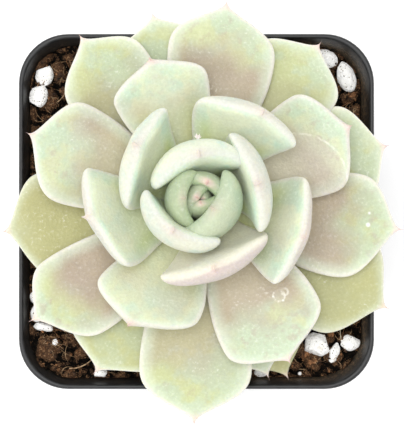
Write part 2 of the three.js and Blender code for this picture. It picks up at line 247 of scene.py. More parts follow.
# Perlite: x, y, length, breadth and turn of each grain
GRAINS = (
    (-38.9, 34.8, 5.2, 4.2, 84),
    (-40.3, 29.5, 5.6, 4.3, 80),
    (33.0, 39.3, 6.2, 4.4, -12),
    (38.4, 34.6, 7.4, 4.4, -68),
    (30.9, -34.0, 6.9, 6.0, 10),
    (39.4, -33.6, 4.7, 3.9, 10),
    (35.3, -36.2, 5.0, 2.5, 75),
    (-40.9, -21.6, 3.8, 3.0, 90),
    (-40.6, -25.9, 4.2, 3.2, 80),
    (-39.2, -29.4, 4.8, 2.4, -15),
    (-36.3, -33.5, 2.1, 1.5, 45),
    (-24.6, -41.2, 3.3, 2.4, 0),
    (16.6, -41.2, 3.4, 2.2, 10),
)
GRAIN_HEIGHT_SHARE = 0.7
GRAIN_SEED = 7
GRAIN_FACETS = 9
GRAIN_BREAKS = (0.66, 0.92)
GRAIN_FULLNESS = 1.1
GRAIN_ROUGHNESS = 0.035
GRAIN_PORE_START = 0.28
GRAIN_PORE_LIMIT = 0.2
GRAIN_PORE_DEPTH = 0.9
GRAIN_LIFT = 0.3
GRAIN_LIFT_SHARE = 0.12

# Photograph's frame: 404 by 425 pixels, of which the pot's rim spans 355.5
PHOTO_HEIGHT = 425
RIM_PIXELS = 355.5
SENSOR = 36.0
CAMERA_OVER_RIM = 450.0
CAMERA_X = 1.4
CAMERA_Y = -0.25

# Stage, in metres: name, place, breadth, power and colour of each light
LIGHTS = (
    ("overhead", (-0.2, 0.3, 2.6), 1.8, 32.0, (1.0, 1.0, 1.0)),
    ("window", (-1.9, -0.7, 1.7), 1.2, 12.0, (1.0, 0.99, 0.97)),
)
LIT_POINT = (0.0, 0.0, 0.09)
ROOM_LIGHT = 0.95
FLOOR_HALF = 2.0

# Leaf colours. A pair runs from the old leaves to the young ones, or from green leaves to rosy ones.
GRASS_GREEN = ((0.52, 0.56, 0.29), (0.80, 0.86, 0.67))
MINT_GREEN = ((0.49, 0.57, 0.38), (0.60, 0.79, 0.65))
ROSY_BEIGE = ((0.415, 0.315, 0.25), (0.55, 0.465, 0.385))
PALE_GREEN = ((0.68, 0.74, 0.58), (0.57, 0.66, 0.56))
CREAM = (0.84, 0.81, 0.71)
YOUNG_CREAM = ((0.60, 0.65, 0.58), (0.66, 0.60, 0.59))
# Painted shade for the steep front of young leaves
YOUNG_FACE_SHADE = ((0.70, 0.77, 0.57), (0.66, 0.67, 0.55))
OLIVE_GREEN = (0.43, 0.42, 0.19)
# Painted shade deep in the rosette, at the base of young leaves
DEEP_SHADE_GREEN = (0.50, 0.55, 0.20)
BUD_GREEN = (0.36, 0.455, 0.26)
PEARLY = (0.73, 0.70, 0.59)
LILAC = (0.56, 0.48, 0.46)
PINK_POINT = (0.76, 0.57, 0.53)
RED_POINT = (0.60, 0.33, 0.30)
GRAIN_SHADE = (0.78, 0.77, 0.74)
SCUFF = (0.86, 0.86, 0.80)
BLOOM_RIM = (0.86, 0.84, 0.76)

# Other finishes
PLASTIC = ((0.012, 0.013, 0.014), (0.030, 0.030, 0.031))
DUST_FILM = (0.09, 0.075, 0.055)
DUST_SPECK = (0.30, 0.205, 0.125)
# Painted shade: the peat's shaded and lit tones, and below them a near black for the gaps
PEAT_SHADED_AND_LIT = ((0.003, 0.002, 0.002), (0.13, 0.068, 0.037))
PEAT_THREAD = (0.50, 0.28, 0.14)
PEAT_GAP_SHADE = (0.004, 0.003, 0.002)
PERLITE = ((0.96, 0.955, 0.93), (0.70, 0.64, 0.54))
# Painted shade for the pits of the pores
PERLITE_PORE_SHADE = (0.16, 0.14, 0.11)
STEM_BARK = ((0.36, 0.37, 0.20), (0.50, 0.44, 0.30))
# Two tones for each finish of the small bits
CRUMB_TONES = {
    "dark_peat": ((0.008, 0.006, 0.004), (0.10, 0.055, 0.033)),
    "bark_chips": ((0.04, 0.017, 0.009), (0.42, 0.20, 0.09)),
    "coir_straw": ((0.20, 0.11, 0.055), (0.66, 0.46, 0.27)),
    "root_skin": ((0.55, 0.47, 0.33), (0.72, 0.64, 0.48)),
    "sugar_crystals": ((0.86, 0.74, 0.72), (0.95, 0.93, 0.90)),
}


def mix(start, end, share):
    return start + (end - start) * share


def clamp(value, low=0.0, high=1.0):
    return max(low, min(high, value))


# Materials

def start_material(name, settings):
    material = bpy.data.materials.new(name)
    material.use_nodes = True
    tree = material.node_tree
    shader = tree.nodes["Principled BSDF"]
    for socket, value in settings.items():
        shader.inputs[socket].default_value = value
    return material, tree, shader


# A socket takes another node's output, or a plain value
def feed(tree, socket, value):
    if isinstance(value, bpy.types.NodeSocket):
        tree.links.new(value, socket)
    else:
        socket.default_value = value


def feed_colour(tree, socket, colour):
    feed(tree, socket, colour if isinstance(colour, bpy.types.NodeSocket) else (*colour, 1.0))


def object_coords(tree):
    return tree.nodes.new("ShaderNodeTexCoord").outputs["Object"]


def split_coords(tree, coords):
    node = tree.nodes.new("ShaderNodeSeparateXYZ")
    tree.links.new(coords, node.inputs["Vector"])
    return node.outputs


def attribute(tree, name):
    node = tree.nodes.new("ShaderNodeAttribute")
    node.attribute_name = name
    return node.outputs["Fac"]


def add_noise(tree, coords, scale, detail=3.0, roughness=0.55, distortion=0.0):
    node = tree.nodes.new("ShaderNodeTexNoise")
    tree.links.new(coords, node.inputs["Vector"])
    node.inputs["Scale"].default_value = scale
    node.inputs["Detail"].default_value = detail
    node.inputs["Roughness"].default_value = roughness
    node.inputs["Distortion"].default_value = distortion
    return node.outputs["Fac"]


def add_cells(tree, coords, scale):
    node = tree.nodes.new("ShaderNodeTexVoronoi")
    tree.links.new(coords, node.inputs["Vector"])
    node.inputs["Scale"].default_value = scale
    return node.outputs["Distance"]


def add_math(tree, operation, first, second=0.0):
    node = tree.nodes.new("ShaderNodeMath")
    node.operation = operation
    feed(tree, node.inputs[0], first)
    feed(tree, node.inputs[1], second)
    return node.outputs["Value"]


def add_product(tree, first, *others):
    product = first
    for other in others:
        product = add_math(tree, "MULTIPLY", product, other)
    return product


def add_range(tree, value, low, high, to_low=0.0, to_high=1.0):
    node = tree.nodes.new("ShaderNodeMapRange")
    node.interpolation_type = "SMOOTHSTEP"
    feed(tree, node.inputs["Value"], value)
    node.inputs["From Min"].default_value = low
    node.inputs["From Max"].default_value = high
    node.inputs["To Min"].default_value = to_low
    node.inputs["To Max"].default_value = to_high
    return node.outputs["Result"]


def add_mix(tree, factor, first, second, blend="MIX"):
    node = tree.nodes.new("ShaderNodeMix")
    node.data_type = "RGBA"
    node.blend_type = blend
    feed(tree, node.inputs["Factor"], factor)
    feed_colour(tree, node.inputs["A"], first)
    feed_colour(tree, node.inputs["B"], second)
    return node.outputs["Result"]


def add_bump(tree, shader, height, strength, distance):
    node = tree.nodes.new("ShaderNodeBump")
    node.inputs["Strength"].default_value = strength
    node.inputs["Distance"].default_value = distance
    tree.links.new(height, node.inputs["Height"])
    tree.links.new(node.outputs["Normal"], shader.inputs["Normal"])


# What a leaf's colours read: the layers of its mesh, noises from broad to fine, and their blends
def leaf_inputs(tree):
    leaf = SimpleNamespace(**{name: attribute(tree, name) for name in LEAF_LAYERS})
    leaf.coords = object_coords(tree)
    leaf.broad = add_noise(tree, leaf.coords, 70.0, 2.0)
    leaf.patches = add_noise(tree, leaf.coords, 120.0, 3.0, 0.6)
    leaf.drift = add_noise(tree, leaf.coords, 330.0, 4.0, 0.6)
    leaf.grain = add_noise(tree, leaf.coords, 1400.0, 3.0, 0.6)
    leaf.bright = add_range(tree, leaf.youth, 0.3, 0.75)
    leaf.toward_tip = add_math(tree, "ADD", leaf.along, add_product(tree, leaf.broad, 0.6))
    leaf.margin = add_math(tree, "ADD", leaf.inset, add_product(tree, leaf.drift, 1.2))
    leaf.pale = add_mix(tree, leaf.youth, *PALE_GREEN)
    old_fading = add_range(tree, leaf.youth, 0.0, 0.03, 0.25, 1.0)
    olive_fading = add_range(tree, leaf.olive, 0.0, 1.0, 1.0, 0.6)
    leaf.fading = add_product(tree, old_fading, olive_fading)
    return leaf


# Grass green and mint in patches, beige toward the base, painted shade of deep green low on young
# leaves, pale tips
def leaf_ground(tree, leaf):
    fresh = add_mix(tree, leaf.bright, *GRASS_GREEN)
    mint = add_mix(tree, leaf.bright, *MINT_GREEN)
    place = split_coords(tree, leaf.coords)
    near_right = add_math(tree, "SUBTRACT", place["X"], place["Y"])
    near_right_share = add_range(tree, near_right, 30 * MM, 52 * MM, 0.0, 0.12)
    minty = add_math(tree, "ADD", leaf.patches, near_right_share)
    colour = add_mix(tree, add_range(tree, minty, 0.44, 0.6), fresh, mint)
    colour = add_mix(tree, leaf.olive, colour, OLIVE_GREEN)

    base_share = add_range(tree, leaf.toward_tip, 0.88, 1.16, 1.0, 0.0)
    patch_share = add_range(tree, leaf.drift, 0.5, 0.66, 0.0, 0.5)
    either_share = add_math(tree, "MAXIMUM", base_share, patch_share)
    young_share = add_range(tree, leaf.youth, 0.52, 0.58, 1.0, 0.4)
    rosy_share = add_product(tree, leaf.rosy, either_share, young_share)
    colour = add_mix(tree, rosy_share, colour, add_mix(tree, leaf.bright, *ROSY_BEIGE))

    # Painted shade: the base of a young leaf, deep in the rosette, is painted deep yellow-green
    deep_shade_share = add_product(tree, add_range(tree, leaf.along, 0.74, 0.44, 0.0, 0.85), leaf.bright)
    colour = add_mix(tree, deep_shade_share, colour, DEEP_SHADE_GREEN)
    tip_share = add_product(tree, add_range(tree, leaf.toward_tip, 1.1, 1.5, 0.0, 0.8), leaf.fading)
    return add_mix(tree, tip_share, colour, leaf.pale)


# A broad pale margin on the front with a cream edge: partly the leaf's own pale margin, partly painted
# highlight on the rounded rim. The bud is green all over.
def add_margins(tree, leaf, colour):
    front = add_product(tree, add_range(tree, leaf.under, 0.0, 0.5, 1.0, 0.35), leaf.fading)
    # The pale margin and cream edge carry painted highlight along the rounded rim
    pale_margin_and_highlight_share = add_product(tree, front, add_range(tree, leaf.margin, 0.8, 5.2, 0.75, 0.0))
    cream_edge_and_highlight_share = add_product(tree, front, add_range(tree, leaf.margin, 0.6, 2.0, 0.8, 0.0))
    cream = add_mix(tree, leaf.youth, CREAM, add_mix(tree, leaf.rosy, *YOUNG_CREAM))
    colour = add_mix(tree, pale_margin_and_highlight_share, colour, leaf.pale)
    colour = add_mix(tree, cream_edge_and_highlight_share, colour, cream)
    return add_mix(tree, add_range(tree, leaf.youth, 0.8, 0.86, 0.0, 0.9), colour, BUD_GREEN)


# The front of a young leaf is painted duller inside its thick pearly margin: painted shade on the steep
# face, with the lighter margin standing in for the lit rounded rim
def add_young_face(tree, leaf, colour):
    rosy_margin = add_range(tree, leaf.rosy, 0.6, 0.8, 0.0, 3.0)
    broad_margin = add_product(tree, rosy_margin, add_range(tree, leaf.youth, 0.52, 0.56))
    face_inset = add_math(tree, "SUBTRACT", leaf.margin, broad_margin)
    inside = add_range(tree, face_inset, 3.4, 7.4, 0.0, 0.7)
    on_front = add_range(tree, leaf.under, 0.0, 0.2, 1.0, 0.0)
    not_bud = add_range(tree, leaf.youth, 0.8, 0.84, 1.0, 0.0)
    # Painted shade on the steep face inside the margin
    face_shade_share = add_product(tree, inside, leaf.bright, on_front, not_bud)
    colour = add_mix(tree, face_shade_share, colour, add_mix(tree, leaf.rosy, *YOUNG_FACE_SHADE))

    very_rosy = add_range(tree, leaf.rosy, 0.85, 0.95)
    pearly_share = add_product(tree, very_rosy, add_range(tree, leaf.youth, 0.62, 0.66), 0.85)
    return add_mix(tree, pearly_share, colour, PEARLY)


# The back is lilac where the front is rosy, and bare green deep in the rosette
def add_back(tree, leaf, colour):
    on_back = add_range(tree, leaf.under, 0.0, 0.5)
    off_base = add_range(tree, leaf.along, 0.25, 0.6)
    lilac_share = add_product(tree, on_back, off_base, add_range(tree, leaf.rosy, 0.0, 1.0, 0.1, 0.85))
    return add_mix(tree, lilac_share, colour, LILAC)


# A round mark in the bloom: a disc and the broken rim round it
def add_mark(tree, coords, colour, mark):
    x, y, radius, disc_share, rim_share, disc_colour = mark
    place = tree.nodes.new("ShaderNodeMapping")
    place.inputs["Location"].default_value = (-x * MM, -y * MM, 0.0)
    place.inputs["Scale"].default_value = (1.0, 1.0, 0.0)
    tree.links.new(coords, place.inputs["Vector"])
    length = tree.nodes.new("ShaderNodeVectorMath")
    length.operation = "LENGTH"
    tree.links.new(place.outputs["Vector"], length.inputs[0])
    distance = length.outputs["Value"]
    soft = min(MARK_SOFTNESS, radius * 0.9)
    disc = add_range(tree, distance, (radius - soft) * MM, radius * MM, disc_share, 0.0)
    colour = add_mix(tree, disc, colour, disc_colour)
    off_rim = add_math(tree, "ABSOLUTE", add_math(tree, "SUBTRACT", distance, radius * MM))
    rim = add_range(tree, off_rim, MARK_RIM[0] * MM, MARK_RIM[1] * MM, rim_share, 0.0)
    broken = add_range(tree, add_noise(tree, coords, 650.0, 3.0), 0.42, 0.58, 0.2, 1.0)
    return add_mix(tree, add_product(tree, rim, broken), colour, BLOOM_RIM)


# A pink point with a red end
def add_point(tree, leaf, colour):
    pink_share = add_product(tree, add_range(tree, leaf.along, 0.93, 0.985), leaf.point)
    colour = add_mix(tree, pink_share, colour, PINK_POINT)
    red_share = add_product(tree, add_range(tree, leaf.along, 0.97, 0.995), leaf.point)
    return add_mix(tree, red_share, colour, RED_POINT)


# Fine grain over the whole leaf, with scuffs in patches
def add_grain(tree, leaf, colour):
    grain_share = add_range(tree, leaf.grain, 0.36, 0.6, 0.28, 0.0)
    colour = add_mix(tree, grain_share, colour, GRAIN_SHADE, "MULTIPLY")
    coarse = add_range(tree, leaf.grain, 0.56, 0.7)
    scuff_share = add_product(tree, coarse, add_range(tree, leaf.patches, 0.5, 0.7, 0.1, 0.4))
    return add_mix(tree, scuff_share, colour, SCUFF)


def leaf_material(name, marks=()):
    material, tree, shader = start_material(name, {
        "Roughness": 0.46,
        "Specular IOR Level": 0.42,
        "Subsurface Weight": 0.3,
        "Subsurface Radius": (1.0, 0.9, 0.5),
        "Subsurface Scale": 0.0025,
        "Sheen Weight": 0.08,
        "Sheen Roughness": 0.5,
    })
    leaf = leaf_inputs(tree)
    colour = leaf_ground(tree, leaf)
    colour = add_margins(tree, leaf, colour)
    colour = add_young_face(tree, leaf, colour)
    colour = add_back(tree, leaf, colour)
    for mark in marks:
        colour = add_mark(tree, leaf.coords, colour, mark)
    colour = add_point(tree, leaf, colour)
    colour = add_grain(tree, leaf, colour)
    tree.links.new(colour, shader.inputs["Base Color"])
    add_bump(tree, shader, add_math(tree, "ADD", leaf.grain, leaf.drift), 0.3, 0.0005)
    return material


# Black plastic, with dust and specks of soil on the inner wall, most of them at the right
def pot_material():
    material, tree, shader = start_material("black_moulded_plastic", {"Specular IOR Level": 0.45})
    coords = object_coords(tree)
    place = split_coords(tree, coords)
    scuffs = add_noise(tree, coords, 420.0, 5.0, 0.65)
    dust = add_noise(tree, coords, 160.0, 4.0, 0.6, 0.4)
    specks = add_noise(tree, coords, 1500.0, 4.0, 0.75)
    colour = add_mix(tree, add_range(tree, scuffs, 0.35, 0.75), *PLASTIC)
    near_soil = add_range(tree, place["Z"], (SOIL_LEVEL + 7.5) * MM, SOIL_LEVEL * MM, 0.35, 1.0)
    to_right = add_range(tree, place["X"], -20 * MM, 40 * MM, 0.25, 1.0)
    dusty = add_product(tree, attribute(tree, "inner"), near_soil, to_right)
    film_share = add_product(tree, dusty, add_range(tree, dust, 0.3, 0.6, 0.2, 0.7))
    colour = add_mix(tree, film_share, colour, DUST_FILM)
    speck_share = add_product(tree, dusty, add_range(tree, specks, 0.5, 0.58))
    colour = add_mix(tree, speck_share, colour, DUST_SPECK)
    tree.links.new(colour, shader.inputs["Base Color"])
    tree.links.new(add_range(tree, scuffs, 0.3, 0.8, 0.34, 0.55), shader.inputs["Roughness"])
    add_bump(tree, shader, add_math(tree, "ADD", scuffs, specks), 0.2, 0.0003)
    return material


# Peat is painted lighter on its clods than in the gaps, painted shade in the recesses mixed with its own
# varying tone, with fine light threads
def soil_material():
    material, tree, shader = start_material(
        "peat_and_bark", {"Roughness": 0.95, "Specular IOR Level": 0.12}
    )
    coords = object_coords(tree)
    lumps = add_noise(tree, coords, 420.0, 5.0, 0.7)
    threads = add_noise(tree, coords, 1900.0, 5.0, 0.75, 0.8)
    height = add_math(tree, "ADD", attribute(tree, "relief"), add_product(tree, lumps, 1.2))
    # Painted shade: darker where the relief is low, mixed with the peat's own tone
    colour = add_mix(tree, add_range(tree, height, 0.1, 1.1), *PEAT_SHADED_AND_LIT)
    colour = add_mix(tree, add_range(tree, threads, 0.52, 0.6, 0.0, 0.9), colour, PEAT_THREAD)
    # Painted shade: near black low in the gaps between clods
    colour = add_mix(tree, add_range(tree, height, 0.25, -0.1, 0.0, 0.95), colour, PEAT_GAP_SHADE)
    tree.links.new(colour, shader.inputs["Base Color"])
    add_bump(tree, shader, threads, 1.0, 0.0012)
    return material


def crumb_material(name):
    material, tree, shader = start_material(name, {"Roughness": 0.9, "Specular IOR Level": 0.2})
    coords = object_coords(tree)
    tone = add_noise(tree, coords, 900.0, 5.0, 0.7)
    colour = add_mix(tree, add_range(tree, tone, 0.35, 0.65), *CRUMB_TONES[name])
    tree.links.new(colour, shader.inputs["Base Color"])
    add_bump(tree, shader, add_noise(tree, coords, 2200.0, 4.0), 0.7, 0.0004)
    return material


# White with brown stains, clusters of pores painted dark as shade in the pits, and a faint painted glow
# that lightens the grains
def perlite_material_with_painted_glow():
    material, tree, shader = start_material("perlite", {
        "Roughness": 0.85,
        "Specular IOR Level": 0.25,
        "Subsurface Weight": 0.2,
        "Subsurface Radius": (1.0, 0.97, 0.93),
        "Subsurface Scale": 0.001,
        # Painted light: a faint white glow, though perlite gives no light
        "Emission Color": (1.0, 0.99, 0.97, 1.0),
        "Emission Strength": 0.1,
    })
    coords = object_coords(tree)
    pores = add_cells(tree, coords, 1500.0)
    clusters = add_noise(tree, coords, 700.0, 3.0, 0.6)
    stain = add_noise(tree, coords, 350.0, 5.0, 0.6)
    colour = add_mix(tree, add_range(tree, stain, 0.54, 0.78, 0.0, 0.7), *PERLITE)
    # Painted shade in the pits of the pores
    pore_shade_share = add_range(tree, pores, 0.16, 0.34, 1.0, 0.0)
    pitted_shade = add_product(tree, pore_shade_share, add_range(tree, clusters, 0.46, 0.56))
    colour = add_mix(tree, pitted_shade, colour, PERLITE_PORE_SHADE)
    tree.links.new(colour, shader.inputs["Base Color"])
    add_bump(tree, shader, pores, 0.5, 0.0003)
    return material


def stem_material():
    material, tree, shader = start_material("stem_bark", {"Roughness": 0.75, "Specular IOR Level": 0.3})
    rings = add_noise(tree, object_coords(tree), 300.0, 5.0, 0.6, 0.6)
    colour = add_mix(tree, add_range(tree, rings, 0.35, 0.7), *STEM_BARK)
    tree.links.new(colour, shader.inputs["Base Color"])
    add_bump(tree, shader, rings, 0.6, 0.0006)
    return material


# Meshes

# Turns a mesh into metres and makes it a piece that rides the root body
def add_piece(name, bm, material, replaced=None, smooth=True):
    bmesh.ops.scale(bm, vec=(MM, MM, MM), verts=bm.verts)
    mesh = bpy.data.meshes.new(name)
    bm.to_mesh(mesh)
    bm.free()
    if smooth:
        mesh.shade_smooth()
    mesh.materials.append(material)
    piece = bpy.data.objects.new(name, mesh)
    bpy.context.collection.objects.link(piece)
    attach(piece, "root")
    if replaced:
        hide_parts(replaced)
    return piece


# A profile of radii and heights, spun round the axis
def spun_profile(profile, steps):
    bm = bmesh.new()
    verts = [bm.verts.new((radius, 0.0, height)) for radius, height in profile]
    edges = [bm.edges.new(pair) for pair in zip(verts, verts[1:])]
    bmesh.ops.spin(
        bm, geom=verts + edges, cent=(0, 0, 0), axis=(0, 0, 1), angle=2 * math.pi, steps=steps,
        use_merge=True,
    )
    bmesh.ops.remove_doubles(bm, verts=bm.verts, dist=0.001)
    return bm


# A point of the pot's outline for a half of 1, by its share of the way round from the middle of
# the right side
def outline_point(share):
    straight = 1.0 - CORNER_SHARE
    arc_length = CORNER_SHARE * math.pi / 2
    quarter_length = 2 * straight + arc_length
    travel = (share % 1.0) * 4 * quarter_length
    quarter = int(travel // quarter_length)
    travel -= quarter * quarter_length
    if travel < straight:
        point = Vector((1.0, travel))
    elif travel < straight + arc_length:
        angle = (travel - straight) / CORNER_SHARE
        corner_x = straight + CORNER_SHARE * math.cos(angle)
        corner_y = straight + CORNER_SHARE * math.sin(angle)
        point = Vector((corner_x, corner_y))
    else:
        point = Vector((quarter_length - travel, 1.0))
    return Matrix.Rotation(quarter * math.pi / 2, 2) @ point


# A profile of halves and heights, spun and squared off to the pot's outline
def squared_spin(profile, steps):
    bm = spun_profile(profile, steps)
    for vert in bm.verts:
        half = math.hypot(vert.co.x, vert.co.y)
        if half > 0.001:
            share = math.atan2(vert.co.y, vert.co.x) / (2 * math.pi)
            vert.co.x, vert.co.y = outline_point(share) * half
    bmesh.ops.recalc_face_normals(bm, faces=bm.faces)
    return bm


def inner_half(height):
    return mix(WALL_FOOT_HALF, WALL_TOP_HALF, height / POT_HEIGHT) - WALL


def arc(centre, radius, start, end, steps):
    angles = (math.radians(mix(start, end, step / steps)) for step in range(steps + 1))
    return [(centre[0] + radius * math.cos(a), centre[1] + radius * math.sin(a)) for a in angles]


def make_pot():
    inner, outer = CHANNEL_HALVES
    under_collar = POT_HEIGHT - COLLAR_HEIGHT
    lip = RIM_WIDTH / 2
    profile = [
        (0.0, 0.0), (inner, 0.0), (inner, CHANNEL_DEPTH), (outer, CHANNEL_DEPTH), (outer, 0.0),
        *arc((WALL_FOOT_HALF - FOOT_ROUND, FOOT_ROUND), FOOT_ROUND, -90, -5, 5),
        (WALL_TOP_HALF - UNDER_COLLAR_IN, under_collar - UNDER_COLLAR_DROP),
        *arc((RIM_HALF - COLLAR_ROUND, under_collar + COLLAR_ROUND), COLLAR_ROUND, -80, 0, 3),
        *arc((RIM_HALF - lip, POT_HEIGHT - lip), lip, 0, 170, 8),
        (inner_half(under_collar), under_collar),
        *[(inner_half(height), height) for height in INNER_WALL_HEIGHTS],
        *arc((inner_half(FLOOR) - FOOT_ROUND, FLOOR + FOOT_ROUND), FOOT_ROUND, 0, -90, 4),
        (0.0, FLOOR),
    ]
    bm = squared_spin(profile, POT_STEPS)
    inner_layer = bm.verts.layers.float.new("inner")
    bm.normal_update()
    for vert in bm.verts:
        faces_in = vert.normal.x * vert.co.x + vert.normal.y * vert.co.y < 0
        vert[inner_layer] = float(faces_in and FLOOR - 0.1 < vert.co.z < POT_HEIGHT - lip)
    piece = add_piece("pot_moulding", bm, pot_material(), "pot")
    drill_drains(piece)
    bevel = piece.modifiers.new("edges", "BEVEL")
    bevel.width = EDGE_BEVEL * MM
    bevel.segments = 2
    bevel.limit_method = "ANGLE"
    bevel.angle_limit = math.radians(SHARP_ANGLE)


# Eight holes through the raised channel, cut from the pot's finished mesh
def drill_drains(piece):
    reach = sum(CHANNEL_HALVES) / 2
    places = [(x, y) for x in (-reach, 0, reach) for y in (-reach, 0, reach) if x or y]
    radius = DRAIN_RADIUS * MM
    bm = bmesh.new()
    for x, y in places:
        place = Matrix.Translation((x * MM, y * MM, FLOOR / 2 * MM))
        bmesh.ops.create_cone(
            bm, cap_ends=True, segments=DRAIN_SIDES, radius1=radius, radius2=radius,
            depth=3 * FLOOR * MM, matrix=place,
        )
    mesh = bpy.data.meshes.new("drains")
    bm.to_mesh(mesh)
    bm.free()
    cutter = bpy.data.objects.new("drains", mesh)
    bpy.context.collection.objects.link(cutter)
    cut = piece.modifiers.new("drains", "BOOLEAN")
    cut.object = cutter
    cut.operation = "DIFFERENCE"
    cut.solver = "EXACT"
    bpy.context.view_layer.update()
    depsgraph = bpy.context.evaluated_depsgraph_get()
    drilled = bpy.data.meshes.new_from_object(
        piece.evaluated_get(depsgraph), preserve_all_data_layers=True, depsgraph=depsgraph
    )
    piece.modifiers.remove(cut)
    piece.data = drilled
    bpy.data.objects.remove(cutter)
    bpy.data.meshes.remove(mesh)


# The smooth bed: a mound round the stem, banks at the left and near walls, and low waves
def soil_height(x, y):
    spread = math.hypot(x - STEM_X, y - STEM_Y) / RIM_HALF
    mound = SOIL_MOUND * max(0.0, 1 - spread * spread)
    left_bank = LEFT_BANK * clamp((-x - BANK_START) / BANK_LENGTH)
    near_bank = NEAR_BANK * clamp((-y - BANK_START) / BANK_LENGTH)
    waves = sum(
        share * math.sin(x_rate * x + x_phase) * math.sin(y_rate * y + y_phase)
        for x_rate, x_phase, y_rate, y_phase, share in SOIL_WAVES
    )
    return SOIL_LEVEL + mound + left_bank + near_bank + SOIL_LUMP * waves


def clod_height(place):
    near, next_near = noise.voronoi(place)[0][:2]
    return min(1.0, 1.7 * (next_near - near)) ** 0.5


# How high the soil stands over its smooth bed: clods, lumps on them and crumbs on those
def soil_relief(x, y):
    place = Vector((x, y, 7.0))
    clods = clod_height(place / CLOD_SIZE)
    lumps = clod_height(place / LUMP_SIZE + Vector((3, 1, 0)))
    crumbs = noise.fractal(place * CRUMB_RATE, 0.6, 2.2, 5)
    return CLOD_RISE * clods + LUMP_RISE * lumps + CRUMB_RISE * crumbs - RELIEF_SINK


def soil_surface(x, y):
    return soil_height(x, y) + soil_relief(x, y)


def make_soil():
    bottom = FLOOR + GAP
    wall_half = inner_half(SOIL_LEVEL) - GAP
    rings = [mix(wall_half, SOIL_HIDDEN_HALF, ring / SOIL_RINGS) for ring in range(SOIL_RINGS)]
    rings += [mix(SOIL_HIDDEN_HALF, 0.0, ring / SOIL_HIDDEN_RINGS) for ring in range(SOIL_HIDDEN_RINGS)]
    profile = [
        (0.0, bottom),
        (inner_half(bottom) - FOOT_ROUND - GAP, bottom),
        (inner_half(FLOOR + FOOT_ROUND) - GAP, FLOOR + FOOT_ROUND + GAP),
        *[(ring, SOIL_LEVEL) for ring in rings],
        (0.0, SOIL_LEVEL),
    ]
    bm = squared_spin(profile, SOIL_STEPS)
    relief_layer = bm.verts.layers.float.new("relief")
    for vert in bm.verts:
        if vert.co.z > SOIL_LEVEL - 0.01:
            calm = clamp((wall_half - max(abs(vert.co.x), abs(vert.co.y))) / CALM_MARGIN)
            relief = soil_relief(vert.co.x, vert.co.y)
            vert[relief_layer] = relief
            vert.co.z = soil_height(vert.co.x, vert.co.y) + mix(CALM_RELIEF, relief, calm)
            spread = (inner_half(vert.co.z) - GAP) / wall_half
            vert.co.x *= spread
            vert.co.y *= spread
    add_piece("soil_bed", bm, soil_material(), "soil")


def random_direction(rng):
    turn = rng.uniform(0, 2 * math.pi)
    height = rng.uniform(-1, 1)
    flat = math.sqrt(1 - height * height)
    return Vector((flat * math.cos(turn), flat * math.sin(turn), height))


# A place on the soil that shows past the leaves
def open_place(rng, margin):
    reach = inner_half(SOIL_LEVEL) - margin
    while True:
        x = rng.uniform(-reach, reach)
        y = rng.uniform(-reach, reach)
        corner_x = max(0, abs(x) - CORNER_START)
        corner_y = max(0, abs(y) - CORNER_START)
        over_corner = math.hypot(corner_x, corner_y) > CORNER_REACH - margin
        in_grain = any(math.hypot(x - row[0], y - row[1]) < row[3] / 2 for row in GRAINS)
        in_gap = soil_relief(x, y) < GAP_RELIEF
        past_leaves = max(abs(x), abs(y)) > OPEN_START
        if past_leaves and not over_corner and not in_grain and not in_gap:
            return x, y


# Joins many small meshes into one, each from its own function call
def gather(makers):
    whole = bmesh.new()
    for make in makers:
        part = bmesh.new()
        make(part)
        mesh = bpy.data.meshes.new("part")
        part.to_mesh(mesh)
        part.free()
        whole.from_mesh(mesh)
        bpy.data.meshes.remove(mesh)
    return whole


def make_crumbs(name, count, sizes, seed, material):
    rng = random.Random(seed)

    def add_crumb(bm):
        x, y = open_place(rng, CRUMB_MARGIN)
        size = rng.uniform(*sizes)
        place = Matrix.Translation((x, y, soil_surface(x, y) + CRUMB_LIFT * size))
        turn = Euler([rng.uniform(0, CRUMB_TURN) for _ in range(3)]).to_matrix().to_4x4()
        length = size * rng.uniform(*CRUMB_LENGTHS)
        breadth = size * rng.uniform(*CRUMB_BREADTHS)
        stretch = Matrix.Diagonal((length, breadth, size * CRUMB_FLATNESS, 1.0))
        bmesh.ops.create_icosphere(bm, subdivisions=1, radius=0.5, matrix=place @ turn @ stretch)
        for vert in bm.verts:
            vert.co += random_direction(rng) * CRUMB_ROUGHNESS * size

    add_piece(name, gather([add_crumb] * count), material, smooth=False)


# A strand is a thin four-sided stick, cut across and bent sideways and up into a bow
def add_strand(bm, start, end, thickness, bow, lift, cuts):
    start = Vector(start)
    end = Vector(end)
    run = end - start
    bmesh.ops.create_cone(
        bm, cap_ends=True, segments=4, radius1=thickness / 2, radius2=thickness * STRAND_END,
        depth=run.length,
    )
    sides = [edge for edge in bm.edges if abs(edge.verts[0].co.z - edge.verts[1].co.z) > run.length / 2]
    bmesh.ops.subdivide_edges(bm, edges=sides, cuts=cuts, use_grid_fill=True)
    turn = run.to_track_quat("Z", "X").to_matrix()
    side = run.cross(Vector((0, 0, 1))).normalized()
    middle = (start + end) / 2
    for vert in bm.verts:
        share = vert.co.z / run.length * 2
        arch = 1 - share * share
        vert.co = middle + turn @ vert.co + side * bow * arch + Vector((0, 0, lift * arch))


